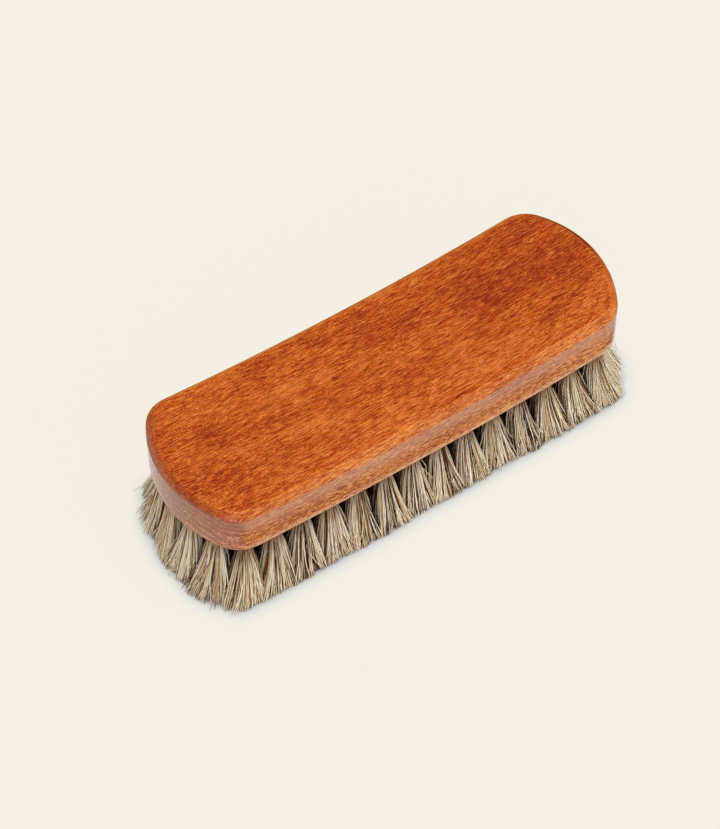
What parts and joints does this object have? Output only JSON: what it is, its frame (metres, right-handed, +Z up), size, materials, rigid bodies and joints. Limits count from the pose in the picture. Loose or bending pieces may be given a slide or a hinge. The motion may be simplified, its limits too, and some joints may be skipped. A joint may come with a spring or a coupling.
{
  "type": "shoe shine brush",
  "caption": "Shoe shine brush: an oblong hardwood block with arched ends and a dished back, filled below with splayed tufts of natural horsehair trimmed level.",
  "frame": {"origin": "on the plane of the trimmed hair tips, under the middle of the block", "axes": "+X along the block, +Y across it, +Z up from the hair tips to the back of the block"},
  "size_m": [0.165, 0.06, 0.048],
  "materials": {
    "stained_beech": "beech stained reddish brown under a thin satin lacquer",
    "horsehair": "natural horsehair, pale beige, brown and dark hairs mixed",
    "staple_wire": "drawn steel wire, hidden in the wood"
  },
  "bodies": {
    "root": {"brush_block": "stained_beech", "front_tuft_01": "horsehair", "front_tuft_02": "horsehair", "front_tuft_03": "horsehair", "front_tuft_04": "horsehair", "front_tuft_05": "horsehair", "front_tuft_06": "horsehair", "front_tuft_07": "horsehair", "front_tuft_08": "horsehair", "front_tuft_09": "horsehair", "front_tuft_10": "horsehair", "front_tuft_11": "horsehair", "front_tuft_12": "horsehair", "front_tuft_13": "horsehair", "front_tuft_14": "horsehair", "back_tuft_01": "horsehair", "back_tuft_02": "horsehair", "back_tuft_03": "horsehair", "back_tuft_04": "horsehair", "back_tuft_05": "horsehair", "back_tuft_06": "horsehair", "back_tuft_07": "horsehair", "back_tuft_08": "horsehair", "back_tuft_09": "horsehair", "back_tuft_10": "horsehair", "back_tuft_11": "horsehair", "back_tuft_12": "horsehair", "back_tuft_13": "horsehair", "back_tuft_14": "horsehair", "left_end_tuft_01": "horsehair", "left_end_tuft_02": "horsehair", "left_end_tuft_03": "horsehair", "left_end_tuft_04": "horsehair", "right_end_tuft_01": "horsehair", "right_end_tuft_02": "horsehair", "right_end_tuft_03": "horsehair", "right_end_tuft_04": "horsehair", "inner_row_1_tufts": "horsehair", "inner_row_2_tufts": "horsehair", "inner_row_3_tufts": "horsehair", "front_staples": "staple_wire", "back_staples": "staple_wire", "left_end_staples": "staple_wire", "right_end_staples": "staple_wire", "inner_row_1_staples": "staple_wire", "inner_row_2_staples": "staple_wire", "inner_row_3_staples": "staple_wire"}
  },
  "joints": []
}
